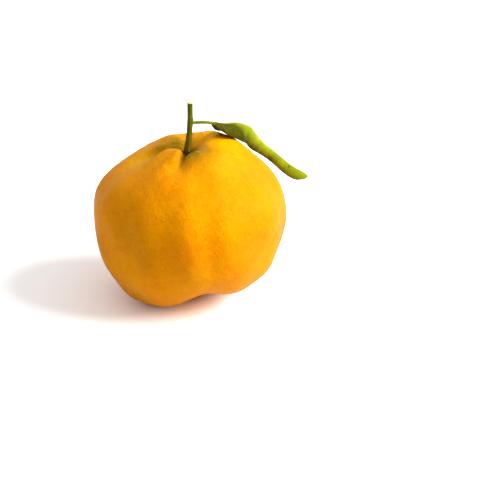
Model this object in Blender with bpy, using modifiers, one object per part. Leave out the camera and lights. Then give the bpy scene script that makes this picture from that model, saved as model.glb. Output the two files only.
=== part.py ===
"""Mandarin with its stem and one leaf, resting on a small flat spot under its base.

The frame is +Z up with the origin at the centre of the flat spot. All dimensions below
are in millimetres and degrees; they become metres when a mesh is placed. Azimuths run
anticlockwise from +X, seen from above.
"""

import math
from collections import namedtuple

import bmesh
import bpy
import numpy as np
from mathutils import Vector

MM = 0.001

# Fruit profile at eight stations, one every 45 degrees from +X
GIRTH = (33.0, 33.0, 33.5, 32.0, 32.0, 30.7, 32.8, 33.2)
SHOULDER = (26.0, 30.5, 28.0, 27.0, 23.0, 23.0, 24.5, 25.0)
BASE = (30.0, 30.0, 30.0, 30.5, 32.0, 33.0, 28.5, 27.5)
SHOULDER_POWER = (1.6, 1.6, 1.6, 1.6, 1.6, 2.0, 2.1, 1.8)
BASE_POWER = 2.5
WAIST = 0.85

# Height of the widest line above the surface that the fruit rests on
WIDEST_HEIGHT = 30.3
SEAT_SWELL = 0.9
SEAT_RADIUS = 9.0

# Hollow round the stem: its depth, its half width at the eight stations, and the steeper
# well in its middle
CAVITY_DEPTH = 3.6
CAVITY_RADIUS = (5.2, 7.5, 7.5, 7.5, 5.0, 4.4, 4.4, 5.0)
WELL_DEPTH = 2.0
WELL_RADIUS = 2.5

# Swellings beside it: place from the axis, height and half width
Swelling = namedtuple("Swelling", "x y height spread")
SWELLINGS = (
    Swelling(-5.0, -5.5, 0.3, 5.0),
    Swelling(-11.0, -5.0, 0.8, 5.0),
    Swelling(17.5, 7.5, 1.6, 4.8),
)

# Furrows between the lobes: azimuth by the stem, on the flank and by the base, depth at the
# same three places, width by the stem to the clockwise and the anticlockwise side, and width
# on the flank
Furrow = namedtuple("Furrow", "top flank foot top_depth flank_depth base_depth clockwise anticlockwise wide")
FURROWS = (
    Furrow(259, 258, 268, 2.2, 0.75, 0.3, 1.0, 2.6, 5.0),
    Furrow(282, 284, 290, 0.4, 0.90, 0.5, 2.0, 2.0, 4.5),
    Furrow(290, 288, 289, 0.0, 0.15, 2.6, 3.0, 3.0, 8.0),
    Furrow(188, 186, 186, 2.0, 0.5, 0.8, 1.8, 1.4, 6.0),
    Furrow(44, 34, 34, 0.9, 0.3, 0.8, 1.6, 2.2, 6.0),
    Furrow(92, 92, 92, 1.8, 0.5, 0.8, 2.0, 2.0, 6.0),
    Furrow(220, 228, 228, 0.2, 0.3, 0.4, 2.5, 2.5, 6.0),
    Furrow(345, 349, 349, 0.4, 0.7, 0.8, 2.5, 2.5, 6.0),
    Furrow(320, 318, 318, 0.2, 0.2, 0.3, 2.5, 2.5, 5.0),
    Furrow(74, 66, 66, 0.9, 0.4, 0.6, 2.5, 2.5, 6.0),
    Furrow(146, 140, 140, 0.5, 0.5, 0.6, 2.5, 2.5, 6.0),
)
FURROW_BLEND = 3.0

# Soft unevenness of the peel: its usual height, the length of its waves and how many meet
LUMP_HEIGHT = 0.16
LUMP_SPAN = 13.0
LUMP_WAVES = 24

FRUIT_SEGMENTS = 88
FRUIT_RINGS = 44

# Five-lobed button between fruit and stem
CALYX_RADIUS = 1.6
CALYX_LOBES = 5
CALYX_LOBE_DEPTH = 0.16
CALYX_THICKNESS = 0.6
CALYX_TURN = 20.0
GAP = 0.3

# Stem: points up its centre line, above its foot, and its radius there
STEM_POINTS = (
    (0.0, 0.0, 0.0, 1.05),
    (0.05, 0.0, 0.6, 1.22),
    (0.25, 0.0, 2.2, 1.15),
    (0.75, 0.0, 6.0, 0.98),
    (1.05, 0.0, 10.4, 1.02),
    (1.10, 0.0, 12.0, 0.96),
    (1.12, 0.0, 17.3, 0.92),
)

# Leaf: share of the way along the midrib, its place beside and above the stem foot, the
# half width, and how far the far and the near half have curled down at the margin
Station = namedtuple("Station", "along x y z half_width far_curl near_curl")
LEAF = (
    Station(0.00, 7.9, 0.1, 10.2, 0.6, 60, 60),
    Station(0.05, 10.1, 2.4, 9.3, 2.8, 88, 125),
    Station(0.13, 13.3, 7.0, 7.1, 5.4, 78, 130),
    Station(0.22, 16.8, 11.8, 5.4, 7.7, 72, 126),
    Station(0.32, 20.3, 15.9, 2.6, 8.1, 76, 132),
    Station(0.42, 23.2, 18.3, -1.9, 6.9, 84, 142),
    Station(0.52, 25.9, 19.6, -5.4, 5.4, 98, 155),
    Station(0.61, 28.6, 20.6, -8.1, 4.9, 102, 157),
    Station(0.71, 31.4, 21.4, -11.0, 4.8, 103, 156),
    Station(0.80, 34.1, 22.0, -13.7, 4.8, 100, 148),
    Station(0.88, 36.6, 22.4, -15.7, 4.5, 90, 125),
    Station(0.94, 38.7, 22.7, -17.0, 3.6, 80, 106),
    Station(0.98, 40.0, 22.8, -18.0, 2.2, 70, 80),
    Station(1.00, 40.6, 22.8, -18.5, 0.7, 60, 60),
)
LEAF_THICKNESS = 0.6
LEAF_STEPS_ALONG = 36
LEAF_STEPS_ACROSS = 18
PETIOLE_START = (2.4, 0.0, 10.3)
PETIOLE_RADIUS = 0.45
PETIOLE_OVERLAP = 0.08


def smooth(low, high, x):
    """0 below low, 1 above high, and an even slope between."""
    t = np.clip((x - low) / (high - low), 0.0, 1.0)
    return t * t * (3.0 - 2.0 * t)


def around(stations, azimuth):
    """A closed smooth curve through values spaced evenly round the axis."""
    values = np.asarray(stations, float)
    count = len(values)
    place = np.mod(azimuth, 2 * np.pi) / (2 * np.pi) * count
    index = np.floor(place).astype(int) % count
    f = place - np.floor(place)
    a, b, c, d = (values[(index + k) % count] for k in (-1, 0, 1, 2))
    return b + 0.5 * f * (c - a + f * (2 * a - 5 * b + 4 * c - d + f * (3 * (b - c) + d - a)))


def furrow_depth(angle, azimuth, reach):
    """How far the furrows sink the peel: the deepest one rules where several meet."""
    share = angle / np.pi
    narrow = 1 - smooth(0.10, 0.27, share)
    at_top = smooth(0.3, 3.0, reach) * (1 - smooth(0.11, 0.27, share))
    at_flank = smooth(0.13, 0.30, share) * (1 - smooth(0.86, 0.97, share))
    at_base = smooth(0.55, 0.78, share) * (1 - smooth(0.86, 0.97, share))
    total = np.zeros_like(angle)
    for f in FURROWS:
        line = f.top + (f.flank - f.top) * smooth(0.10, 0.45, share)
        line = np.radians(line + (f.foot - f.flank) * smooth(0.48, 0.80, share))
        gap = np.mod(azimuth - line + np.pi, 2 * np.pi) - np.pi
        across = reach * np.sin(np.clip(gap, -np.pi / 2, np.pi / 2))
        depth = f.top_depth * at_top + f.flank_depth * at_flank
        depth = np.maximum(depth + (f.base_depth - f.flank_depth) * at_base, 0.0)
        width = np.where(gap < 0, f.clockwise, f.anticlockwise) * narrow + f.wide * (1 - narrow)
        near = np.abs(gap) < np.pi / 2
        total += near * (depth * np.exp(-((across / width) ** 2))) ** FURROW_BLEND
    return total ** (1 / FURROW_BLEND)


def lumps(points, height, span):
    """A soft unevenness: waves that cross in set random directions."""
    random = np.random.default_rng(4)
    total = np.zeros(len(points))
    for _ in range(LUMP_WAVES):
        way = random.normal(size=3)
        way *= 2 * np.pi / (span * random.uniform(0.8, 1.6) * np.linalg.norm(way))
        total += np.sin(points @ way + random.uniform(0, 2 * np.pi))
    return height * total / math.sqrt(LUMP_WAVES / 2)


def peel(angle, azimuth, furrowed=True):
    """Points of the peel at angles from the stem and azimuths, before the unevenness."""
    across, up = np.sin(angle), np.cos(angle)
    # The stations take hold away from the stem and the base, where all azimuths meet
    hold = smooth(0.0, 0.75, across)
    shoulder, base, shoulder_power = (
        np.mean(values) + (around(values, azimuth) - np.mean(values)) * hold
        for values in (SHOULDER, BASE, SHOULDER_POWER)
    )
    above = smooth(-WAIST, WAIST, up)
    half = base + (shoulder - base) * above
    power = BASE_POWER + (shoulder_power - BASE_POWER) * above
    girth = around(GIRTH, azimuth)
    radius = ((across / girth) ** power + (np.abs(up) / half) ** power) ** (-1 / power)
    radius = radius - furrow_depth(angle, azimuth, radius * across) * furrowed
    reach = radius * across
    height = radius * up
    hollow = np.exp(-((reach / around(CAVITY_RADIUS, azimuth)) ** 2))
    well = np.exp(-((reach / WELL_RADIUS) ** 4))
    height = height - (up > 0) * (CAVITY_DEPTH * hollow + WELL_DEPTH * well)
    x, y = reach * np.cos(azimuth), reach * np.sin(azimuth)
    for s in SWELLINGS:
        height = height + (up > 0) * s.height * np.exp(-(((x - s.x) ** 2 + (y - s.y) ** 2) / s.spread**2))
    height = height - (up < 0) * SEAT_SWELL * np.exp(-((reach / SEAT_RADIUS) ** 2))
    return np.stack([x, y, height], -1)


def peel_surface(angle, azimuth):
    """Points of the finished peel, cut off flat where the fruit rests."""
    points = peel(angle, azimuth)
    reach = np.hypot(points[:, 0], points[:, 1])
    swell = lumps(points, LUMP_HEIGHT, LUMP_SPAN) * smooth(3.0, 9.0, reach)
    out = np.stack([np.sin(angle) * np.cos(azimuth), np.sin(angle) * np.sin(azimuth), np.cos(angle)], -1)
    points = points + out * swell[:, None]
    points[:, 2] = np.maximum(points[:, 2] + WIDEST_HEIGHT, 0.0)
    return points


def polar_angles(vertices):
    """Angle from the stem and azimuth of points on a unit sphere, with more rings by the stem."""
    xyz = np.array([tuple(v.co) for v in vertices])
    share = np.arccos(np.clip(xyz[:, 2], -1.0, 1.0)) / np.pi
    share = share * (0.72 + 0.28 * share)
    return share * np.pi, np.arctan2(xyz[:, 1], xyz[:, 0])


def cavity_height(x, y):
    """Height of the peel close to the stem, its furrows bridged."""
    reach = np.hypot(x, y)
    azimuth = np.arctan2(y, x)
    angle = np.linspace(0.0, 0.6, 240)
    out = []
    for r, a in zip(reach, azimuth):
        points = peel(angle, np.full_like(angle, a), furrowed=False)
        out.append(np.interp(r, np.hypot(points[:, 0], points[:, 1]), points[:, 2]))
    return np.array(out) + WIDEST_HEIGHT


def material(name, colour, roughness):
    made = bpy.data.materials.new(name)
    made.use_nodes = True
    shader = made.node_tree.nodes["Principled BSDF"]
    shader.inputs["Base Color"].default_value = (*colour, 1.0)
    shader.inputs["Roughness"].default_value = roughness
    shader.inputs["Metallic"].default_value = 0.0
    made.diffuse_color = (*colour, 1.0)
    return made


def add_object(name, data, collection, surface):
    made = bpy.data.objects.new(name, data)
    collection.objects.link(made)
    data.materials.append(surface)
    return made


def mesh_from(bm, name):
    mesh = bpy.data.meshes.new(name)
    bm.to_mesh(mesh)
    bm.free()
    return mesh


def place_vertices(bm, points):
    for vertex, point in zip(bm.verts, points):
        vertex.co = Vector(point) * MM


def make_fruit(collection):
    bm = bmesh.new()
    bmesh.ops.create_uvsphere(bm, u_segments=FRUIT_SEGMENTS, v_segments=FRUIT_RINGS, radius=1.0)
    place_vertices(bm, peel_surface(*polar_angles(bm.verts)))
    mesh = mesh_from(bm, "fruit")
    mesh.shade_smooth()
    return add_object("fruit", mesh, collection, material("peel", (0.93, 0.38, 0.01), 0.42))


def make_calyx(collection):
    bm = bmesh.new()
    bmesh.ops.create_uvsphere(bm, u_segments=40, v_segments=10, radius=1.0)
    xyz = np.array([tuple(v.co) for v in bm.verts])
    azimuth = np.arctan2(xyz[:, 1], xyz[:, 0])
    lobed = 1 + CALYX_LOBE_DEPTH * np.cos(CALYX_LOBES * (azimuth - math.radians(CALYX_TURN)))
    x = xyz[:, 0] * CALYX_RADIUS * lobed
    y = xyz[:, 1] * CALYX_RADIUS * lobed
    lift = GAP + CALYX_THICKNESS * 0.5 * (1 + xyz[:, 2])
    place_vertices(bm, np.stack([x, y, cavity_height(x, y) + lift], -1))
    mesh = mesh_from(bm, "calyx")
    mesh.shade_smooth()
    return add_object("calyx", mesh, collection, material("calyx", (0.16, 0.17, 0.03), 0.6))


def tube(name, points, radii, collection, surface, resolution=3):
    """A round rod along points, with a radius at each and flat closed ends."""
    curve = bpy.data.curves.new(name, "CURVE")
    curve.dimensions = "3D"
    curve.bevel_depth = MM
    curve.bevel_resolution = resolution
    curve.use_fill_caps = True
    spline = curve.splines.new("POLY")
    spline.points.add(len(points) - 1)
    for point, place, radius in zip(spline.points, points, radii):
        point.co = (*(Vector(place) * MM), 1.0)
        point.radius = radius
    spline.use_smooth = True
    return add_object(name, curve, collection, surface)


def along_line(points, count):
    """Points spaced evenly along a smooth line through a few given ones."""
    given = np.array(points, float)
    steps = np.linspace(0.0, len(given) - 1.0, count)
    padded = np.vstack([2 * given[0] - given[1], given, 2 * given[-1] - given[-2]])
    out = []
    for s in steps:
        i = min(int(s), len(given) - 2)
        f = s - i
        a, b, c, d = padded[i : i + 4]
        out.append(b + 0.5 * f * (c - a + f * (2 * a - 5 * b + 4 * c - d + f * (3 * (b - c) + d - a))))
    return np.array(out)


def stem_foot():
    """Height of the stem's lower end, just clear of the calyx."""
    return float(cavity_height(np.array([0.0]), np.array([0.0]))[0]) + CALYX_THICKNESS + 2 * GAP


def make_stem(collection):
    line = along_line(STEM_POINTS, 19)
    line[:, 2] += stem_foot()
    surface = material("stem", (0.10, 0.13, 0.02), 0.6)
    return tube("stem", line[:, :3], line[:, 3], collection, surface)


def leaf_sheet(bm):
    """Places a flat grid, -1 to 1 both ways, as a blade arched round its midrib."""
    fine = along_line(LEAF, 181)
    foot = stem_foot()
    points = []
    for vertex in bm.verts:
        share = (vertex.co.x + 1) / 2
        side = vertex.co.y
        values = [np.interp(share, fine[:, 0], fine[:, k]) for k in range(1, 7)]
        x, y, z, half_width, far_curl, near_curl = values
        ahead = [np.interp(min(share + 0.02, 1), fine[:, 0], fine[:, k]) for k in (1, 2, 3)]
        behind = [np.interp(max(share - 0.02, 0), fine[:, 0], fine[:, k]) for k in (1, 2, 3)]
        forward = (Vector(ahead) - Vector(behind)).normalized()
        level = Vector((-forward.y, forward.x, 0.0)).normalized()
        upward = forward.cross(level).normalized()
        curl = math.radians(far_curl if side > 0 else near_curl)
        radius = half_width / curl
        reach = radius * math.sin(curl * side)
        drop = radius * (1 - math.cos(curl * side))
        points.append(Vector((x, y, z + foot)) + level * reach - upward * drop)
    place_vertices(bm, points)


def make_leaf(collection, helpers):
    surface = material("leaf", (0.27, 0.36, 0.04), 0.45)
    bm = bmesh.new()
    bmesh.ops.create_grid(bm, x_segments=LEAF_STEPS_ALONG, y_segments=LEAF_STEPS_ACROSS, size=1.0)
    bmesh.ops.triangulate(bm, faces=bm.faces[:])
    leaf_sheet(bm)
    mesh = mesh_from(bm, "leaf")
    mesh.shade_smooth()
    leaf = add_object("leaf", mesh, collection, surface)
    solid = leaf.modifiers.new("Thickness", "SOLIDIFY")
    solid.thickness = LEAF_THICKNESS * MM
    solid.offset = 0.0
    petiole = make_petiole(helpers, surface)
    join = leaf.modifiers.new("Petiole", "BOOLEAN")
    join.operation = "UNION"
    join.object = petiole
    return leaf


def make_petiole(helpers, surface):
    """The leaf's stalk, from beside the stem into the foot of the blade."""
    foot = stem_foot()
    start = Vector(PETIOLE_START)
    fine = along_line(LEAF, 181)
    end = Vector([np.interp(PETIOLE_OVERLAP, fine[:, 0], fine[:, k]) for k in (1, 2, 3)])
    base = Vector(fine[0, 1:4])
    line = along_line((start, start.lerp(base, 0.5), base, end), 13)
    line[:, 2] += foot
    radii = PETIOLE_RADIUS * np.interp(np.linspace(0, 1, 13), (0, 0.45, 0.7, 1), (0.8, 1.1, 0.9, 0.5))
    rod = tube("petiole_curve", line, radii, helpers, surface)
    depsgraph = bpy.context.evaluated_depsgraph_get()
    mesh = bpy.data.meshes.new_from_object(rod.evaluated_get(depsgraph))
    bm = bmesh.new()
    bm.from_mesh(mesh)
    bmesh.ops.remove_doubles(bm, verts=bm.verts, dist=1e-6)
    bm.to_mesh(mesh)
    bm.free()
    made = bpy.data.objects.new("petiole", mesh)
    made.matrix_world = rod.matrix_world
    helpers.objects.link(made)
    made.hide_render = True
    made.display_type = "WIRE"
    bpy.data.objects.remove(rod)
    return made


def main():
    for old in list(bpy.data.objects):
        bpy.data.objects.remove(old)
    mandarin = bpy.data.collections.new("mandarin")
    helpers = bpy.data.collections.new("helpers")
    for collection in (mandarin, helpers):
        bpy.context.scene.collection.children.link(collection)
    make_fruit(mandarin)
    make_calyx(mandarin)
    make_stem(mandarin)
    make_leaf(mandarin, helpers)


main()
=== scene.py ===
"""Looks of a mandarin: its pored peel, calyx, cut stem and curled leaf.

Lengths are in millimetres and angles in degrees until a mesh is placed, in metres. The frame
is the solids' own: +Z up the fruit's axis, the flat spot at the origin, azimuths
anticlockwise from +X as seen from above.
"""

import math
from collections import namedtuple

import bmesh
import bpy
import numpy as np
from mathutils import Matrix, Vector, kdtree


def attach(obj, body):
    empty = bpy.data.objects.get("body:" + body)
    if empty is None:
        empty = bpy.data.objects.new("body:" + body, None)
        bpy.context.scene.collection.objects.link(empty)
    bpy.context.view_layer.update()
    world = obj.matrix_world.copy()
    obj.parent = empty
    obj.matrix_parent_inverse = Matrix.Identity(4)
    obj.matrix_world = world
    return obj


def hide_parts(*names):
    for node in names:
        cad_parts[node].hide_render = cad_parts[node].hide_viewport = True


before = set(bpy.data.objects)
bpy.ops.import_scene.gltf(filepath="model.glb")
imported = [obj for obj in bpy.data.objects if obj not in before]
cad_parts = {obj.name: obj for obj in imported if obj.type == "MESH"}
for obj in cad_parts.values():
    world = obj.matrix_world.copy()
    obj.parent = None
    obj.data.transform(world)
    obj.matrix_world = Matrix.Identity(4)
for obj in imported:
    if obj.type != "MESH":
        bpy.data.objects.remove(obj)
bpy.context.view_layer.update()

MM = 0.001
RANGE_SOCKETS = ("From Min", "From Max", "To Min", "To Max")

# Fruit profile at eight stations, one every 45 degrees from +X, as in the solid
GIRTH = (33.0, 33.0, 33.5, 32.0, 32.0, 30.7, 32.8, 33.2)
SHOULDER = (26.0, 30.5, 28.0, 27.0, 23.0, 23.0, 24.5, 25.0)
BASE = (30.0, 30.0, 30.0, 30.5, 32.0, 33.0, 28.5, 27.5)
SHOULDER_POWER = (1.6, 1.6, 1.6, 1.6, 1.6, 2.0, 2.1, 1.8)
BASE_POWER = 2.5
WAIST = 0.85
WIDEST_HEIGHT = 30.3
SEAT_SWELL = 0.9
SEAT_RADIUS = 9.0
CAVITY_DEPTH = 3.6
CAVITY_RADIUS = (5.2, 7.5, 7.5, 7.5, 5.0, 4.4, 4.4, 5.0)
WELL_DEPTH = 2.0
WELL_RADIUS = 2.5

# Swellings of the shoulder: where they are, how high and how wide
Swelling = namedtuple("Swelling", "x y height spread")
SWELLINGS = (
    Swelling(-5.0, -5.5, 0.3, 5.0),
    Swelling(-11.0, -5.0, 0.8, 5.0),
    Swelling(17.5, 7.5, 1.6, 4.8),
)

# Furrows: azimuth and depth at the top, the flank and the base, the width by the stem to the
# clockwise and the anticlockwise side, and the width lower down
Furrow = namedtuple(
    "Furrow",
    "top flank foot top_depth flank_depth base_depth clockwise anticlockwise wide",
)
FURROWS = (
    Furrow(259, 258, 268, 2.2, 0.75, 0.3, 1.0, 2.6, 5.0),
    Furrow(282, 284, 290, 0.4, 0.90, 0.5, 2.0, 2.0, 4.5),
    Furrow(290, 288, 289, 0.0, 0.15, 2.6, 3.0, 3.0, 8.0),
    Furrow(188, 186, 186, 2.0, 0.5, 0.8, 1.8, 1.4, 6.0),
    Furrow(44, 34, 34, 0.9, 0.3, 0.8, 1.6, 2.2, 6.0),
    Furrow(92, 92, 92, 1.8, 0.5, 0.8, 2.0, 2.0, 6.0),
    Furrow(220, 228, 228, 0.2, 0.3, 0.4, 2.5, 2.5, 6.0),
    Furrow(345, 349, 349, 0.4, 0.7, 0.8, 2.5, 2.5, 6.0),
    Furrow(320, 318, 318, 0.2, 0.2, 0.3, 2.5, 2.5, 5.0),
    Furrow(74, 66, 66, 0.9, 0.4, 0.6, 2.5, 2.5, 6.0),
    Furrow(146, 140, 140, 0.5, 0.5, 0.6, 2.5, 2.5, 6.0),
)
FURROW_BLEND = 3.0

# Soft unevenness of the whole fruit
LUMP_HEIGHT = 0.16
LUMP_SPAN = 13.0
LUMP_WAVES = 24

# Fine relief of the peel: soft pebbling, and pits over its oil glands
PEEL_SPLITS = 7
PEBBLE_HEIGHT = 0.028
PEBBLE_SPAN = 3.4
PIT_COUNT = 3600
PIT_RADIUS = (0.55, 1.15)
PIT_DEPTH = (0.015, 0.060)

# Colours, red, green and blue in linear light; two where noise goes from one to the other
PEEL_TONES = ((0.73, 0.245, 0.0004), (0.79, 0.292, 0.0004))
PEEL_BLOT = (0.61, 0.160, 0.001)
PEEL_PAINTED_LIGHT = (0.96, 0.43, 0.0005)
PEEL_PAINTED_SHADE = (0.62, 0.15, 0.001)
PEEL_OLIVE_AND_SHADE = (0.15, 0.110, 0.001)
PEEL_CREASE_AND_SHADE = (0.10, 0.045, 0.001)
PEEL_GLAND = (0.46, 0.10, 0.001)
PEEL_PAINTED_GLINT = (0.86, 0.42, 0.02)
PEEL_SCAR = (0.17, 0.10, 0.03)
CALYX_TONES = ((0.045, 0.040, 0.006), (0.09, 0.075, 0.015))
CALYX_EDGE = (0.05, 0.028, 0.006)
STEM_TONES = ((0.055, 0.066, 0.002), (0.115, 0.13, 0.004))
STEM_FOOT = (0.150, 0.090, 0.004)
STEM_CUT = (0.80, 0.74, 0.26)
LEAF_CREST_AND_LIGHT = ((0.27, 0.295, 0.006), (0.33, 0.345, 0.012))
LEAF_FLANK = ((0.17, 0.20, 0.001), (0.21, 0.235, 0.002))
LEAF_MARGIN_AND_SHADE = ((0.044, 0.040, 0.0004), (0.060, 0.056, 0.0008))
LEAF_VEIN = (0.36, 0.38, 0.06)
LEAF_SPOT = (0.035, 0.030, 0.004)

# Patches of the peel's colour: centre, spread and strength. The light ones are painted light and
# the dark orange ones painted shade; the greenish ones are partly the peel's own tinge and, by
# the hollow, partly painted shade.
Patch = namedtuple("Patch", "x y z spread strength")
# Greenish tinge: the seven by the stem's hollow are partly the peel's own tinge and partly
# painted shade there; the last three, lower down on the front, are tinge
OLIVE_AND_SHADE_PATCHES = (
    Patch(-3.6, 3.9, 53.1, 4.8, 0.88),
    Patch(-8.3, 0.4, 52.4, 3.8, 0.70),
    Patch(3.2, -5.2, 54.2, 5.4, 0.98),
    Patch(4.0, -10.5, 53.6, 6.0, 0.30),
    Patch(6.8, -2.0, 54.2, 4.6, 0.38),
    Patch(-2.2, -10.5, 52.0, 4.5, 0.34),
    Patch(0.0, 0.0, 51.0, 3.2, 0.75),
    Patch(-19.4, -23.2, 33.4, 7.0, 0.22),
    Patch(-12.8, -28.9, 27.0, 8.0, 0.22),
    Patch(2.0, -31.0, 20.0, 6.0, 0.15),
)
# Painted shade: darker orange on the shaded left shoulder, beside the front ridge, low on the
# right, at the right rim and low down near the floor
PAINTED_SHADE_PATCHES = (
    Patch(-14.0, -19.0, 45.0, 6.0, 0.20),
    Patch(3.3, -32.5, 30.0, 7.0, 0.50),
    Patch(20.0, -26.0, 26.2, 9.0, 0.40),
    Patch(33.0, -4.0, 26.0, 10.0, 0.45),
    Patch(7.0, -27.0, 12.0, 6.0, 0.35),
)
# Painted light: a lighter top on the left lobe, where the light falls, and lighter peel behind
# the stem against the leaf's shadow
PAINTED_LIGHT_PATCHES = (
    Patch(-15.5, 2.5, 49.5, 7.0, 0.98),
    Patch(7.0, 6.0, 54.0, 7.0, 0.98),
)

# Greenish tinge down the furrows by the stem, partly the peel's own and partly painted shade in
# these
# hollows: how deep they are where it sets in, how far out it fades away and its strength
FURROW_OLIVE_AND_SHADE_DEPTH = (0.35, 1.9)
FURROW_OLIVE_AND_SHADE_REACH = (6.0, 17.0)
FURROW_OLIVE_AND_SHADE = 0.25

# Fine creases that run from the stem down the furrows: azimuth, how far out and strength
Crease = namedtuple("Crease", "azimuth reach strength")
CREASES = (
    Crease(261, 15.0, 1.0),
    Crease(188, 13.0, 0.9),
    Crease(92, 9.0, 0.3),
)
CREASE_WIDTH = 0.8
CREASE_DEPTH = 0.30

# Dry scar in the middle of the flat spot
SCAR_RADIUS = 1.6
SCAR_DEPTH = 0.5

# Calyx, the five-lobed button between fruit and stem
CALYX_RADIUS = 1.6
CALYX_LOBES = 5
CALYX_LOBE_DEPTH = 0.16
CALYX_THICKNESS = 0.6
CALYX_TURN = 20.0
GAP = 0.3

# Stem: points up its centre line, above its foot, and its radius there
STEM_POINTS = (
    (0.0, 0.0, 0.0, 1.05),
    (0.05, 0.0, 0.6, 1.22),
    (0.25, 0.0, 2.2, 1.15),
    (0.75, 0.0, 6.0, 0.98),
    (1.05, 0.0, 10.4, 1.02),
    (1.10, 0.0, 12.0, 0.96),
    (1.12, 0.0, 17.3, 0.92),
)
NODE_HEIGHT = 10.3
STEM_STEPS = 150
STEM_SIDES = 40

# Leaf: share of the way along the midrib, its place beside and above the stem foot, the
# half width, and how far the far and the near half have curled down at the margin
Station = namedtuple("Station", "along x y z half_width far_curl near_curl")
PETIOLE = (
    Station(-0.165, 1.85, 0.0, 10.25, 0.60, 0, 0),
    Station(-0.13, 2.8, 0.0, 10.3, 0.42, 0, 0),
    Station(-0.07, 5.2, 0.0, 10.4, 0.60, 10, 10),
)
LEAF = (
    Station(0.00, 7.9, 0.1, 10.2, 0.6, 60, 60),
    Station(0.05, 10.1, 2.4, 9.3, 2.8, 88, 125),
    Station(0.13, 13.3, 7.0, 7.1, 5.4, 78, 130),
    Station(0.22, 16.8, 11.8, 5.4, 7.7, 72, 126),
    Station(0.32, 20.3, 15.9, 2.6, 8.1, 76, 132),
    Station(0.42, 23.2, 18.3, -1.9, 6.9, 84, 142),
    Station(0.52, 25.9, 19.6, -5.4, 5.4, 98, 155),
    Station(0.61, 28.6, 20.6, -8.1, 4.9, 102, 157),
    Station(0.71, 31.4, 21.4, -11.0, 4.8, 103, 156),
    Station(0.80, 34.1, 22.0, -13.7, 4.8, 100, 148),
    Station(0.88, 36.6, 22.4, -15.7, 4.5, 90, 125),
    Station(0.94, 38.7, 22.7, -17.0, 3.6, 80, 106),
    Station(0.98, 40.0, 22.8, -18.0, 2.2, 70, 80),
    Station(1.00, 40.6, 22.8, -18.5, 0.7, 60, 60),
)
LEAF_STEPS_ALONG = 220
LEAF_STEPS_ACROSS = 64
BLADE_THICKNESS = 0.34
MIDRIB_HEIGHT = 0.5
MIDRIB_WIDTH = 0.55
PETIOLE_THICKNESS = 1.05
VEIN_PAIRS = 9
VEIN_HEIGHT = 0.05
VEIN_WIDTH = 0.28
LEAF_LENGTH = 52.0

# Tone across the leaf, from 0 at its light crest to 1 at its dark margins: partly the leaf's own
# colour, partly painted light on the crest and painted shade at the margins. The dark foot of the
# near half is painted shade and the light middle painted light; towards the tip the painted
# contrast is evened out.
PETIOLE_TONE = 0.45
LEAF_DARK_FOOT = 0.42
LEAF_FOOT_SHADE = 0.95
LEAF_MIDDLE_LIGHT = 0.30
LEAF_END_TONE = 0.60
LEAF_END_SHARE = 0.7

# Brown specks on the leaf: share of the way along, how far across, how large and how dark
Spot = namedtuple("Spot", "along across radius strength")
SPOTS = (
    Spot(0.80, -1.5, 0.75, 0.85),
    Spot(0.77, -2.9, 0.60, 0.50),
    Spot(0.79, -3.6, 0.45, 0.35),
)

# Where the camera stands: its height above level, its distance from the middle of the widest
# line, and where that point falls in a frame of 480 by 480 pixels
FRAME_PIXELS = 480
CAMERA_ELEVATION = 25.0
CAMERA_DISTANCE = 700.0
PIXELS_PER_MM = 3.0
AXIS_PIXEL = (187.8, 211.3)
SENSOR = 36.0

# Light: one large soft lamp from the right, a little in front, in a white room. The floor
# shows whiter to the camera than the light it throws back.
KEY_DIRECTION = (0.82, -0.12, 0.57)
KEY_DISTANCE = 1.1
KEY_SIZE = 0.80
KEY_POWER = 23.5
ROOM_BRIGHT_WAY = (0.0, 0.30, 0.95)
ROOM_STRENGTH = (0.38, 0.74)
FLOOR_SHADE = 1.3
FLOOR_BOUNCE = 0.72
FLOOR_DROP = 0.05
FLOOR_RADIUS = 1.4


def smooth(low, high, x):
    """0 below low, 1 above high, and an even slope between."""
    t = np.clip((x - low) / (high - low), 0.0, 1.0)
    return t * t * (3.0 - 2.0 * t)


def curve(a, b, c, d, f):
    """The share f of the way from b to c on a smooth curve through all four."""
    return b + 0.5 * f * (c - a + f * (2 * a - 5 * b + 4 * c - d + f * (3 * (b - c) + d - a)))


def around(stations, azimuth):
    """A closed smooth curve through values spaced evenly round the axis."""
    values = np.asarray(stations, float)
    count = len(values)
    place = np.mod(azimuth, 2 * np.pi) / (2 * np.pi) * count
    index = np.floor(place).astype(int) % count
    return curve(*(values[(index + k) % count] for k in (-1, 0, 1, 2)), place - np.floor(place))


def furrow_depth(angle, azimuth, reach):
    """How far the furrows sink the peel: the deepest one rules where several meet."""
    share = angle / np.pi
    narrow = 1 - smooth(0.10, 0.27, share)
    at_top = smooth(0.3, 3.0, reach) * (1 - smooth(0.11, 0.27, share))
    at_flank = smooth(0.13, 0.30, share) * (1 - smooth(0.86, 0.97, share))
    at_base = smooth(0.55, 0.78, share) * (1 - smooth(0.86, 0.97, share))
    total = np.zeros_like(angle)
    for f in FURROWS:
        line = f.top + (f.flank - f.top) * smooth(0.10, 0.45, share)
        line = np.radians(line + (f.foot - f.flank) * smooth(0.48, 0.80, share))
        gap = np.mod(azimuth - line + np.pi, 2 * np.pi) - np.pi
        across = reach * np.sin(np.clip(gap, -np.pi / 2, np.pi / 2))
        depth = f.top_depth * at_top + f.flank_depth * at_flank
        depth = np.maximum(depth + (f.base_depth - f.flank_depth) * at_base, 0.0)
        width = np.where(gap < 0, f.clockwise, f.anticlockwise) * narrow + f.wide * (1 - narrow)
        near = np.abs(gap) < np.pi / 2
        total += near * (depth * np.exp(-((across / width) ** 2))) ** FURROW_BLEND
    return total ** (1 / FURROW_BLEND)


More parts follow.
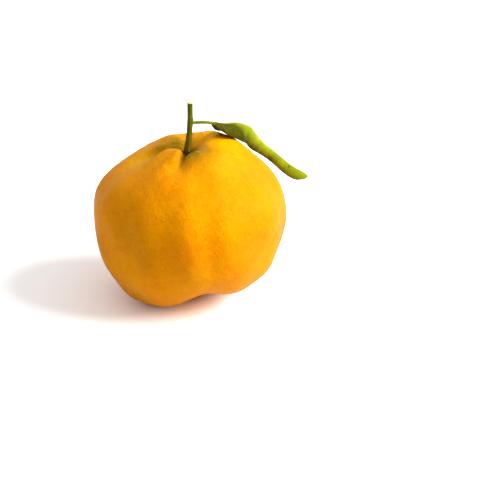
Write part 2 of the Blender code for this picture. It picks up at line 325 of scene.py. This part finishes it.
def lumps(points, height, span, seed=4):
    """A soft unevenness: waves that cross in set random directions."""
    random = np.random.default_rng(seed)
    total = np.zeros(len(points))
    for _ in range(LUMP_WAVES):
        way = random.normal(size=3)
        way *= 2 * np.pi / (span * random.uniform(0.8, 1.6) * np.linalg.norm(way))
        total += np.sin(points @ way + random.uniform(0, 2 * np.pi))
    return height * total / math.sqrt(LUMP_WAVES / 2)


def peel(angle, azimuth, furrowed=True):
    """Points of the peel at angles from the stem and azimuths, and how deep its furrows lie."""
    across, up = np.sin(angle), np.cos(angle)
    hold = smooth(0.0, 0.75, across)
    shoulder, base, shoulder_power = (
        np.mean(values) + (around(values, azimuth) - np.mean(values)) * hold
        for values in (SHOULDER, BASE, SHOULDER_POWER)
    )
    above = smooth(-WAIST, WAIST, up)
    half = base + (shoulder - base) * above
    power = BASE_POWER + (shoulder_power - BASE_POWER) * above
    girth = around(GIRTH, azimuth)
    radius = ((across / girth) ** power + (np.abs(up) / half) ** power) ** (-1 / power)
    depth = furrow_depth(angle, azimuth, radius * across) * furrowed
    radius = radius - depth
    reach = radius * across
    height = radius * up
    hollow = np.exp(-((reach / around(CAVITY_RADIUS, azimuth)) ** 2))
    well = np.exp(-((reach / WELL_RADIUS) ** 4))
    height = height - (up > 0) * (CAVITY_DEPTH * hollow + WELL_DEPTH * well)
    x, y = reach * np.cos(azimuth), reach * np.sin(azimuth)
    for swelling in SWELLINGS:
        far = (x - swelling.x) ** 2 + (y - swelling.y) ** 2
        height = height + (up > 0) * swelling.height * np.exp(-(far / swelling.spread**2))
    height = height - (up < 0) * SEAT_SWELL * np.exp(-((reach / SEAT_RADIUS) ** 2))
    return np.stack([x, y, height], -1), depth


def peel_surface(angle, azimuth):
    """Points of the peel, cut off flat where the fruit rests, and the depth of its furrows."""
    points, depth = peel(angle, azimuth)
    reach = np.hypot(points[:, 0], points[:, 1])
    swell = lumps(points, LUMP_HEIGHT, LUMP_SPAN) * smooth(3.0, 9.0, reach)
    across = np.sin(angle)
    out = np.stack([across * np.cos(azimuth), across * np.sin(azimuth), np.cos(angle)], -1)
    points = points + out * swell[:, None]
    points[:, 2] = np.maximum(points[:, 2] + WIDEST_HEIGHT, 0.0)
    return points, depth


def cavity_height(x, y):
    """Height of the peel close to the stem, its furrows bridged."""
    reach = np.hypot(x, y)
    azimuth = np.arctan2(y, x)
    angle = np.linspace(0.0, 0.6, 240)
    out = []
    for r, a in zip(reach, azimuth):
        points, _ = peel(angle, np.full_like(angle, a), furrowed=False)
        out.append(np.interp(r, np.hypot(points[:, 0], points[:, 1]), points[:, 2]))
    return np.array(out) + WIDEST_HEIGHT


def stem_foot():
    """Height of the stem's lower end, just clear of the calyx."""
    return float(cavity_height(np.array([0.0]), np.array([0.0]))[0]) + CALYX_THICKNESS + 2 * GAP


def along_line(points, count):
    """Points spaced evenly along a smooth line through a few given ones."""
    given = np.array(points, float)
    padded = np.vstack([2 * given[0] - given[1], given, 2 * given[-1] - given[-2]])
    out = []
    for step in np.linspace(0.0, len(given) - 1.0, count):
        i = min(int(step), len(given) - 2)
        out.append(curve(*padded[i : i + 4], step - i))
    return np.array(out)


class Surface:
    """A material whose nodes are added one by one."""

    def __init__(self, name):
        self.material = bpy.data.materials.new(name)
        self.material.use_nodes = True
        self.tree = self.material.node_tree
        self.shader = self.tree.nodes["Principled BSDF"]
        self.place = self.add("ShaderNodeTexCoord").outputs["Object"]

    def add(self, kind, **settings):
        node = self.tree.nodes.new(kind)
        for key, value in settings.items():
            setattr(node, key, value)
        return node

    def join(self, source, target):
        self.tree.links.new(source, target)

    def fill(self, node, **values):
        """Sets inputs by name, from numbers or from other nodes' outputs."""
        for key, value in values.items():
            socket = node.inputs[key.replace("_", " ")]
            if isinstance(value, bpy.types.NodeSocket):
                self.join(value, socket)
            else:
                socket.default_value = value
        return node

    def noise(self, size, detail=2.0, rough=0.5, place=None):
        """Cloudy noise whose blots are about size millimetres across."""
        node = self.add("ShaderNodeTexNoise")
        self.fill(node, Vector=place or self.place, Scale=1.0 / (size * MM))
        self.fill(node, Detail=detail, Roughness=rough)
        return node.outputs["Fac"]

    def cells(self, size, feature="F1"):
        """Distance to scattered points about size millimetres apart, in shares of that."""
        node = self.add("ShaderNodeTexVoronoi", feature=feature)
        self.fill(node, Vector=self.place, Scale=1.0 / (size * MM), Randomness=1.0)
        return node.outputs["Distance"]

    def span(self, value, low, high, start=0.0, end=1.0):
        """value from low to high becomes start to end, with soft ends."""
        node = self.add("ShaderNodeMapRange", interpolation_type="SMOOTHSTEP")
        self.join(value, node.inputs["Value"])
        for key, number in zip(RANGE_SOCKETS, (low, high, start, end)):
            node.inputs[key].default_value = number
        return node.outputs["Result"]

    def sums(self, kind, first, second):
        """Arithmetic on two values."""
        node = self.add("ShaderNodeMath", operation=kind)
        for socket, value in zip(node.inputs, (first, second)):
            if isinstance(value, bpy.types.NodeSocket):
                self.join(value, socket)
            else:
                socket.default_value = value
        return node.outputs["Value"]

    def mix(self, share, first, second):
        """One colour over another by a share."""
        node = self.add("ShaderNodeMix", data_type="RGBA")
        for number, value in ((0, share), (6, first), (7, second)):
            socket = node.inputs[number]
            if isinstance(value, bpy.types.NodeSocket):
                self.join(value, socket)
            elif isinstance(value, tuple):
                socket.default_value = (*value, 1.0)
            else:
                socket.default_value = value
        return node.outputs[2]

    def attribute(self, name):
        return self.add("ShaderNodeAttribute", attribute_name=name).outputs["Fac"]

    def bump(self, height, depth, below=None):
        """A bump depth millimetres high, on top of another one."""
        node = self.add("ShaderNodeBump")
        self.fill(node, Height=height, Distance=depth * MM, Strength=1.0)
        if below is not None:
            self.join(below, node.inputs["Normal"])
        return node.outputs["Normal"]

    def finish(self, colour, roughness, normal):
        self.join(colour, self.shader.inputs["Base Color"])
        self.join(roughness, self.shader.inputs["Roughness"])
        self.join(normal, self.shader.inputs["Normal"])
        return self.material


def peel_material():
    """Waxy orange peel: oil glands, patches of painted light and shade, and a greenish tinge in
    its hollows that is partly painted shade.
    """
    s = Surface("mandarin_peel")
    colour = s.mix(s.span(s.noise(26.0, detail=1.5), 0.36, 0.64), *PEEL_TONES)
    blots = s.noise(5.0, detail=3.0, rough=0.6)
    colour = s.mix(s.span(blots, 0.40, 0.72, 0.0, 0.30), colour, PEEL_BLOT)
    cloud = s.span(s.noise(4.0, detail=3.0, rough=0.6), 0.30, 0.62, 0.76, 1.08)
    # Painted light, painted shade, and the greenish tinge that is partly painted shade, laid on
    # in turn
    for name, tint in (("pale", PEEL_PAINTED_LIGHT), ("painted_shade", PEEL_PAINTED_SHADE), ("olive_and_shade", PEEL_OLIVE_AND_SHADE)):
        colour = s.mix(s.sums("MULTIPLY", s.attribute(name), cloud), colour, tint)
    # Dark brown along the fine creases by the stem: partly their own darker skin, partly painted
    # shade
    colour = s.mix(s.sums("MULTIPLY", s.attribute("crease"), 0.85), colour, PEEL_CREASE_AND_SHADE)
    glands = s.cells(1.15)
    colour = s.mix(s.span(glands, 0.05, 0.42, 0.20, 0.0), colour, PEEL_GLAND)
    # Small lighter dots: painted glints of the light on the pores
    painted_glints = s.span(s.noise(0.9, detail=2.0, rough=0.6), 0.56, 0.70, 0.0, 0.24)
    colour = s.mix(painted_glints, colour, PEEL_PAINTED_GLINT)
    colour = s.mix(s.attribute("scar"), colour, PEEL_SCAR)
    fine = s.bump(s.span(glands, 0.0, 0.5), 0.06)
    fine = s.bump(s.noise(0.35, detail=2.0), 0.012, fine)
    roughness = s.span(s.noise(3.0, detail=2.0), 0.3, 0.7, 0.40, 0.52)
    s.fill(s.shader, IOR=1.2, Specular_IOR_Level=0.25, Specular_Tint=(1.0, 0.5, 0.04, 1.0))
    s.fill(s.shader, Subsurface_Weight=0.12, Subsurface_Scale=0.0022)
    s.fill(s.shader, Subsurface_Radius=(1.0, 0.35, 0.05))
    return s.finish(colour, roughness, fine)


def calyx_material():
    """Dry green-brown skin, browner at the lobes' edges."""
    s = Surface("mandarin_calyx")
    colour = s.mix(s.span(s.noise(0.7, detail=3.0), 0.35, 0.65), *CALYX_TONES)
    colour = s.mix(s.attribute("edge"), colour, CALYX_EDGE)
    roughness = s.span(s.noise(0.4), 0.3, 0.7, 0.55, 0.75)
    return s.finish(colour, roughness, s.bump(s.noise(0.22, detail=3.0), 0.05))


def stem_material():
    """Green twig, brown and woody at its foot, with a pale cut end."""
    s = Surface("mandarin_stem")
    stretch = s.add("ShaderNodeMapping")
    stretch.inputs["Scale"].default_value = (1.0, 1.0, 0.16)
    s.join(s.place, stretch.inputs["Vector"])
    streaks = s.noise(0.35, detail=3.0, rough=0.6, place=stretch.outputs["Vector"])
    colour = s.mix(s.span(streaks, 0.35, 0.65), *STEM_TONES)
    cloud = s.span(s.noise(1.2, detail=3.0), 0.25, 0.6, 0.6, 1.0)
    colour = s.mix(s.sums("MULTIPLY", s.attribute("foot"), cloud), colour, STEM_FOOT)
    colour = s.mix(s.attribute("cut"), colour, STEM_CUT)
    bark = s.bump(streaks, 0.07)
    s.fill(s.shader, IOR=1.25, Specular_IOR_Level=0.15, Specular_Tint=(0.9, 1.0, 0.2, 1.0))
    return s.finish(colour, s.span(streaks, 0.3, 0.7, 0.42, 0.62), bark)


def leaf_material():
    """Leathery leaf: light along the crest, deeper green beside it and browner at the margins,
    partly painted light and shade.
    """
    s = Surface("mandarin_leaf")
    cloud = s.span(s.noise(6.0, detail=3.0), 0.35, 0.65)
    crest = s.mix(cloud, *LEAF_CREST_AND_LIGHT)
    flank = s.mix(cloud, *LEAF_FLANK)
    margin = s.mix(cloud, *LEAF_MARGIN_AND_SHADE)
    waver = s.span(s.noise(3.5, detail=2.0), 0.3, 0.7, -0.10, 0.10)
    out = s.sums("ADD", s.attribute("side"), waver)
    colour = s.mix(s.span(out, 0.10, 0.50), crest, flank)
    colour = s.mix(s.span(out, 0.42, 0.96), colour, margin)
    colour = s.mix(s.sums("MULTIPLY", s.attribute("vein"), 0.12), colour, LEAF_VEIN)
    colour = s.mix(s.attribute("spot"), colour, LEAF_SPOT)
    net = s.cells(0.55, feature="DISTANCE_TO_EDGE")
    colour = s.mix(s.span(net, 0.0, 0.16, 0.10, 0.0), colour, LEAF_VEIN)
    relief = s.bump(s.span(net, 0.0, 0.25), 0.025)
    relief = s.bump(s.noise(1.6, detail=2.0), 0.05, relief)
    s.fill(s.shader, IOR=1.12, Specular_IOR_Level=0.2, Specular_Tint=(0.8, 1.0, 0.1, 1.0))
    return s.finish(colour, s.span(s.noise(2.0), 0.3, 0.7, 0.36, 0.48), relief)


def mesh_from(bm, name):
    mesh = bpy.data.meshes.new(name)
    bm.to_mesh(mesh)
    bm.free()
    return mesh


def set_points(mesh, points):
    mesh.vertices.foreach_set("co", (points * MM).astype(np.float32).ravel())
    mesh.update()


def set_attribute(mesh, name, values):
    made = mesh.attributes.new(name, "FLOAT", "POINT")
    made.data.foreach_set("value", np.clip(values, 0.0, 1.0).astype(np.float32))


def get_normals(mesh):
    normals = np.zeros(len(mesh.vertices) * 3, np.float32)
    mesh.vertex_normals.foreach_get("vector", normals)
    return normals.reshape(-1, 3).astype(float)


def add_piece(name, mesh, material, node):
    """A shown piece that stands for one solid."""
    mesh.shade_smooth()
    mesh.materials.append(material)
    piece = bpy.data.objects.new(name, mesh)
    bpy.context.scene.collection.objects.link(piece)
    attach(piece, "root")
    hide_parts(node)
    return piece


def even_ball():
    """Directions on a ball with near even spacing: a finely split cube, blown up."""
    bm = bmesh.new()
    bmesh.ops.create_cube(bm, size=2.0)
    cage = bpy.data.objects.new("cage", mesh_from(bm, "cage"))
    bpy.context.scene.collection.objects.link(cage)
    split = cage.modifiers.new("Split", "SUBSURF")
    split.subdivision_type = "SIMPLE"
    split.levels = PEEL_SPLITS
    split.render_levels = PEEL_SPLITS
    depsgraph = bpy.context.evaluated_depsgraph_get()
    mesh = bpy.data.meshes.new_from_object(cage.evaluated_get(depsgraph))
    bpy.data.objects.remove(cage)
    cube = np.zeros(len(mesh.vertices) * 3, np.float32)
    mesh.vertices.foreach_get("co", cube)
    bent = np.tan(cube.reshape(-1, 3).astype(float) * math.pi / 4)
    return mesh, bent / np.linalg.norm(bent, axis=1)[:, None]


def pits(points):
    """Depth of the pits scattered over the peel."""
    random = np.random.default_rng(11)
    tree = kdtree.KDTree(len(points))
    for index, point in enumerate(points):
        tree.insert(point, index)
    tree.balance()
    depth = np.zeros(len(points))
    for centre in random.choice(len(points), PIT_COUNT, replace=False):
        radius = random.uniform(*PIT_RADIUS)
        sunk = random.uniform(*PIT_DEPTH)
        for _, index, distance in tree.find_range(points[centre], radius):
            depth[index] = max(depth[index], sunk * (1 - (distance / radius) ** 2) ** 2)
    return depth


def patches(kind, points):
    """Strength of some round soft patches, which add up where they meet."""
    clear = np.ones(len(points))
    for patch in kind:
        far = np.linalg.norm(points - np.array([patch.x, patch.y, patch.z]), axis=1)
        clear *= 1 - patch.strength * np.exp(-((far / patch.spread) ** 2))
    return 1 - clear


def creases(points):
    """Strength of the fine creases by the stem."""
    reach = np.hypot(points[:, 0], points[:, 1])
    azimuth = np.arctan2(points[:, 1], points[:, 0])
    total = np.zeros(len(points))
    for c in CREASES:
        gap = azimuth - math.radians(c.azimuth)
        line = np.exp(-((reach * np.sin(gap) / CREASE_WIDTH) ** 2)) * (np.cos(gap) > 0)
        fade = smooth(1.0, 2.2, reach) * (1 - smooth(0.4, 1.0, reach / c.reach))
        total = np.maximum(total, c.strength * line * fade)
    return total


def make_peel():
    mesh, ball = even_ball()
    share = np.arccos(np.clip(ball[:, 2], -1.0, 1.0)) / np.pi
    angle = share * (0.72 + 0.28 * share) * np.pi
    azimuth = np.arctan2(ball[:, 1], ball[:, 0])
    points, furrow = peel_surface(angle, azimuth)
    set_points(mesh, points)
    normals = get_normals(mesh)
    reach = np.hypot(points[:, 0], points[:, 1])
    low = points[:, 2] < 0.4 * WIDEST_HEIGHT
    raised = points[:, 2] > 0.01
    pebbles = lumps(points, PEBBLE_HEIGHT, PEBBLE_SPAN, seed=7) * smooth(2.5, 6.0, reach)
    relief = pebbles - pits(points)
    crease = creases(points) * ~low
    points = points + normals * ((relief - CREASE_DEPTH * crease) * raised)[:, None]
    scar = low * np.exp(-((reach / SCAR_RADIUS) ** 4))
    points[:, 2] += SCAR_DEPTH * scar
    points[:, 2] = np.maximum(points[:, 2], 0.0)
    set_points(mesh, points)
    # Greenish tinge down the furrows by the stem, partly painted shade, joined with the greenish
    # patches
    by_stem = ~low * (1 - smooth(*FURROW_OLIVE_AND_SHADE_REACH, reach))
    olive_and_shade = by_stem * smooth(*FURROW_OLIVE_AND_SHADE_DEPTH, furrow) * FURROW_OLIVE_AND_SHADE
    set_attribute(mesh, "olive_and_shade", np.maximum(olive_and_shade, patches(OLIVE_AND_SHADE_PATCHES, points)))
    # Patches of painted shade
    set_attribute(mesh, "painted_shade", patches(PAINTED_SHADE_PATCHES, points))
    # Patches of painted light
    set_attribute(mesh, "pale", patches(PAINTED_LIGHT_PATCHES, points))
    set_attribute(mesh, "crease", crease)
    set_attribute(mesh, "scar", scar)
    return add_piece("fruit_peel", mesh, peel_material(), "fruit")


def make_calyx():
    bm = bmesh.new()
    bmesh.ops.create_uvsphere(bm, u_segments=100, v_segments=24, radius=1.0)
    bm.verts.index_update()
    xyz = np.array([tuple(v.co) for v in bm.verts])
    # Blender's ball has its faces in another order each run, so they are sorted
    rings = sorted([v.index for v in face.verts] for face in bm.faces)
    bm.free()
    mesh = bpy.data.meshes.new("calyx_button")
    mesh.from_pydata(xyz, [], rings)
    azimuth = np.arctan2(xyz[:, 1], xyz[:, 0])
    out = np.hypot(xyz[:, 0], xyz[:, 1])
    wave = np.cos(CALYX_LOBES * (azimuth - math.radians(CALYX_TURN)))
    lobed = 1 + CALYX_LOBE_DEPTH * wave - 0.03 * np.cos(3 * CALYX_LOBES * azimuth)
    x = xyz[:, 0] * CALYX_RADIUS * lobed
    y = xyz[:, 1] * CALYX_RADIUS * lobed
    lift = GAP + CALYX_THICKNESS * 0.5 * (1 + xyz[:, 2])
    ridge = 0.10 * np.maximum(wave, 0) * smooth(0.35, 0.75, out) * (xyz[:, 2] > 0)
    set_points(mesh, np.stack([x, y, cavity_height(x, y) + lift + ridge], -1))
    set_attribute(mesh, "edge", smooth(0.72, 1.0, out))
    return add_piece("calyx_button", mesh, calyx_material(), "calyx")


def make_stem():
    line = along_line(STEM_POINTS, STEM_STEPS)
    bm = bmesh.new()
    bmesh.ops.create_grid(bm, x_segments=STEM_SIDES, y_segments=STEM_STEPS - 1, size=1.0)
    bmesh.ops.remove_doubles(bm, verts=bm.verts, dist=1e-6)
    flat = np.array([tuple(v.co) for v in bm.verts])
    turn = (flat[:, 0] + 1) * math.pi
    off_leaf = np.mod(turn + math.pi, 2 * math.pi) - math.pi
    share = (flat[:, 1] + 1) / 2
    place = [np.interp(share, np.linspace(0, 1, STEM_STEPS), line[:, k]) for k in range(4)]
    height = place[2]
    ribs = 0.035 * np.cos(5 * turn + 0.12 * height) + 0.02 * np.cos(2 * turn - 0.3 * height)
    node = 0.10 * np.exp(-((off_leaf / 0.8) ** 2 + ((height - NODE_HEIGHT) / 0.9) ** 2))
    bud = 0.22 * np.exp(-((off_leaf / 0.4) ** 2 + ((height - NODE_HEIGHT - 1.1) / 0.45) ** 2))
    radius = place[3] * (0.965 + ribs) + node + bud
    x = place[0] + radius * np.cos(turn)
    y = place[1] + radius * np.sin(turn)
    points = np.stack([x, y, height + stem_foot()], -1)
    for vertex, point in zip(bm.verts, points):
        vertex.co = Vector(point) * MM
    bmesh.ops.remove_doubles(bm, verts=bm.verts, dist=1e-7)
    bmesh.ops.holes_fill(bm, edges=[e for e in bm.edges if e.is_boundary], sides=0)
    bmesh.ops.recalc_face_normals(bm, faces=bm.faces)
    caps = [f for f in bm.faces if len(f.verts) > 4]
    bmesh.ops.inset_region(bm, faces=caps, thickness=0.12 * MM, depth=0.05 * MM)
    mesh = mesh_from(bm, "stem_twig")
    where = np.array([tuple(v.co) for v in mesh.vertices]) / MM
    top = where[:, 2].max()
    set_attribute(mesh, "cut", smooth(top - 0.12, top - 0.02, where[:, 2]))
    set_attribute(mesh, "foot", 1 - smooth(stem_foot() + 3.0, stem_foot() + 9.0, where[:, 2]))
    return add_piece("stem_twig", mesh, stem_material(), "stem")


def blade_frame(along):
    """The leaf's values along its midrib, and the directions across and above it there."""
    stations = np.array(PETIOLE + LEAF, float)
    fine = along_line(stations, 401)

    def at(place, columns):
        return np.stack([np.interp(place, fine[:, 0], fine[:, k]) for k in columns], -1)

    values = at(along, range(1, fine.shape[1]))
    step = 0.012
    forward = at(along + step, (1, 2, 3)) - at(along - step, (1, 2, 3))
    forward /= np.linalg.norm(forward, axis=1)[:, None]
    level = np.stack([-forward[:, 1], forward[:, 0], np.zeros(len(forward))], -1)
    level /= np.linalg.norm(level, axis=1)[:, None]
    return values, level, np.cross(forward, level)


def make_leaf():
    """The blade and its petiole as one closed skin, whose two faces meet at the margin."""
    along = np.linspace(PETIOLE[0].along, 1.0, LEAF_STEPS_ALONG)
    side = np.linspace(-1.0, 1.0, LEAF_STEPS_ACROSS + 1)
    values, level, upward = blade_frame(along)
    half_width = np.maximum(values[:, 3], 0.05)[:, None]
    blade = smooth(-0.02, 0.08, along)[:, None]
    curl = np.where(side > 0, values[:, 4, None], values[:, 5, None])
    curl = np.radians(np.maximum(curl, 1.0))
    turned = curl * np.abs(side)
    reach = half_width * np.sign(side) * np.sin(turned) / curl
    lift = -half_width * (1 - np.cos(turned)) / curl
    aside = reach[..., None] * level[:, None]
    sheet = values[:, None, :3] + aside + lift[..., None] * upward[:, None]
    sheet[..., 2] += stem_foot()
    # Normals of the sheet, and its distance from the midrib and the veins
    normal = np.cross(np.gradient(sheet, axis=0), np.gradient(sheet, axis=1))
    normal /= np.linalg.norm(normal, axis=2)[..., None]
    away = np.abs(side)[None] * half_width
    vein = vein_height(along[:, None], away, half_width) * blade
    edge = np.sqrt(np.maximum(1 - np.abs(side)[None] ** (2 + 12 * blade), 0.0))
    thickness = (BLADE_THICKNESS * blade + PETIOLE_THICKNESS * (1 - blade)) * edge
    taper = (1 - smooth(0.0, 1.05, along) * 0.85)[:, None]
    midrib = np.exp(-((away / (MIDRIB_WIDTH * (0.4 + 0.6 * taper))) ** 2)) * taper * blade
    above = 0.5 * thickness - (0.16 * midrib + 0.6 * VEIN_HEIGHT * vein) * edge
    under = 0.5 * thickness + (MIDRIB_HEIGHT * midrib + VEIN_HEIGHT * vein) * edge
    top = sheet + above[..., None] * normal
    bottom = sheet - under[..., None] * normal
    mesh = closed_skin("leaf_blade", top, bottom)
    ribs = np.maximum(midrib * 1.2, vein * 0.7)
    set_attribute(mesh, "vein", skin_values(ribs, ribs))
    tone = leaf_tone(along, side, blade)
    # Tone across the leaf, which carries its painted light and shade
    set_attribute(mesh, "side", skin_values(tone, tone))
    spots = np.zeros_like(ribs)
    for spot in SPOTS:
        ahead = (along[:, None] - spot.along) * LEAF_LENGTH
        far = np.hypot(ahead, side[None] * half_width - spot.across)
        spots = np.maximum(spots, spot.strength * (1 - smooth(0.3, 1.0, far / spot.radius)))
    set_attribute(mesh, "spot", skin_values(spots, spots))
    return add_piece("leaf_blade", mesh, leaf_material(), "leaf")


def leaf_tone(along, side, blade):
    """How far the leaf's colour is from its crest's to its margins', with painted light and
    shade.
    """
    # Painted shade on the foot of the near half
    near = (side < 0)[None] * (1 - smooth(0.0, LEAF_DARK_FOOT, along))[:, None]
    tone = (np.abs(side)[None] + LEAF_FOOT_SHADE * near) * blade + PETIOLE_TONE * (1 - blade)
    # Painted light in the middle of the blade
    middle = smooth(0.12, 0.24, along) * (1 - smooth(0.30, 0.44, along))
    end = smooth(0.56, 0.76, along)[:, None]
    light = LEAF_MIDDLE_LIGHT * middle[:, None]
    return tone - light + LEAF_END_SHARE * end * (LEAF_END_TONE - tone)


def vein_height(along, away, half_width):
    """Share of a vein's height: pairs that leave the midrib and curve forward to the margin."""
    total = np.zeros(np.broadcast(along, away).shape)
    for k in range(VEIN_PAIRS):
        start = 0.05 + 0.86 * k / VEIN_PAIRS
        lean = start + (0.62 * away + 0.035 * away**2) / LEAF_LENGTH
        total = np.maximum(total, np.exp(-(((along - lean) * LEAF_LENGTH / VEIN_WIDTH) ** 2)))
    fade = 1 - smooth(0.80, 0.98, away / half_width)
    return total * fade * smooth(0.0, 0.05, along)


def closed_skin(name, top, bottom):
    """Two grids of points that share their side margins, closed at both ends."""
    rows, columns = top.shape[:2]
    points = np.concatenate([top.reshape(-1, 3), bottom[:, 1:-1].reshape(-1, 3)])
    upper = np.arange(rows * columns).reshape(rows, columns)
    lower = upper.copy()
    lower[:, 1:-1] = rows * columns + np.arange(rows * (columns - 2)).reshape(rows, columns - 2)
    faces = []
    for i in range(rows - 1):
        for j in range(columns - 1):
            faces.append((upper[i, j], upper[i + 1, j], upper[i + 1, j + 1], upper[i, j + 1]))
            faces.append((lower[i, j + 1], lower[i + 1, j + 1], lower[i + 1, j], lower[i, j]))
    for row, order in ((0, 1), (rows - 1, -1)):
        ring = list(upper[row]) + list(lower[row, -2:0:-1])
        faces.append(tuple(ring[::order]))
    mesh = bpy.data.meshes.new(name)
    mesh.from_pydata(points * MM, [], [tuple(int(v) for v in face) for face in faces])
    mesh.update()
    bm = bmesh.new()
    bm.from_mesh(mesh)
    bmesh.ops.recalc_face_normals(bm, faces=bm.faces)
    bm.to_mesh(mesh)
    bm.free()
    return mesh


def skin_values(top, bottom):
    return np.concatenate([top.ravel(), bottom[:, 1:-1].ravel()])


def add_camera():
    tilt = math.radians(CAMERA_ELEVATION)
    forward = Vector((0.0, math.cos(tilt), -math.sin(tilt)))
    upward = Vector((0.0, math.sin(tilt), math.cos(tilt)))
    right = Vector((1.0, 0.0, 0.0))
    aside = (AXIS_PIXEL[0] - FRAME_PIXELS / 2) / PIXELS_PER_MM
    raised = (FRAME_PIXELS / 2 - AXIS_PIXEL[1]) / PIXELS_PER_MM
    place = Vector((0.0, 0.0, WIDEST_HEIGHT)) - forward * CAMERA_DISTANCE
    place = place - right * aside - upward * raised
    data = bpy.data.cameras.new("camera")
    data.sensor_width = SENSOR
    data.lens = SENSOR * PIXELS_PER_MM * CAMERA_DISTANCE / FRAME_PIXELS
    camera = bpy.data.objects.new("camera", data)
    turn = Matrix((right, upward, -forward)).transposed().to_4x4()
    camera.matrix_world = Matrix.Translation(place * MM) @ turn
    bpy.context.scene.collection.objects.link(camera)
    bpy.context.scene.camera = camera


def add_light():
    data = bpy.data.lights.new("key", "AREA")
    data.shape = "DISK"
    data.size = KEY_SIZE
    data.energy = KEY_POWER
    lamp = bpy.data.objects.new("key", data)
    direction = Vector(KEY_DIRECTION).normalized()
    lamp.location = Vector((0.0, 0.0, WIDEST_HEIGHT * MM)) + direction * KEY_DISTANCE
    lamp.rotation_euler = direction.to_track_quat("Z", "Y").to_euler()
    bpy.context.scene.collection.objects.link(lamp)
    world = bpy.data.worlds.new("room")
    world.use_nodes = True
    tree = world.node_tree
    backdrop = tree.nodes["Background"]
    backdrop.inputs["Color"].default_value = (1.0, 1.0, 1.0, 1.0)
    way = tree.nodes.new("ShaderNodeTexCoord").outputs["Generated"]
    along = tree.nodes.new("ShaderNodeVectorMath")
    along.operation = "DOT_PRODUCT"
    along.inputs[1].default_value = Vector(ROOM_BRIGHT_WAY).normalized()
    tree.links.new(way, along.inputs[0])
    strength = tree.nodes.new("ShaderNodeMapRange")
    tree.links.new(along.outputs["Value"], strength.inputs["Value"])
    for key, number in zip(RANGE_SOCKETS, (-1.0, 1.0, *ROOM_STRENGTH)):
        strength.inputs[key].default_value = number
    seen = tree.nodes.new("ShaderNodeLightPath").outputs["Is Camera Ray"]
    shown = tree.nodes.new("ShaderNodeMix")
    shown.inputs["B"].default_value = 1.0
    tree.links.new(seen, shown.inputs["Factor"])
    tree.links.new(strength.outputs["Result"], shown.inputs["A"])
    tree.links.new(shown.outputs["Result"], backdrop.inputs["Strength"])
    bpy.context.scene.world = world


def add_floor():
    bm = bmesh.new()
    bmesh.ops.create_circle(bm, cap_ends=True, segments=96, radius=FLOOR_RADIUS)
    mesh = mesh_from(bm, "floor")
    floor = bpy.data.objects.new("floor", mesh)
    floor.location = (0.0, 0.0, -FLOOR_DROP * MM)
    bpy.context.scene.collection.objects.link(floor)
    s = Surface("white_floor")
    s.fill(s.shader, Roughness=0.9, Specular_IOR_Level=0.1)
    seen = s.add("ShaderNodeLightPath").outputs["Is Camera Ray"]
    shade = s.mix(seen, (FLOOR_BOUNCE,) * 3, (FLOOR_SHADE,) * 3)
    s.join(shade, s.shader.inputs["Base Color"])
    mesh.materials.append(s.material)


bpy.context.scene.view_settings.view_transform = "Standard"
add_camera()
add_light()
add_floor()
make_peel()
make_calyx()
make_stem()
make_leaf()
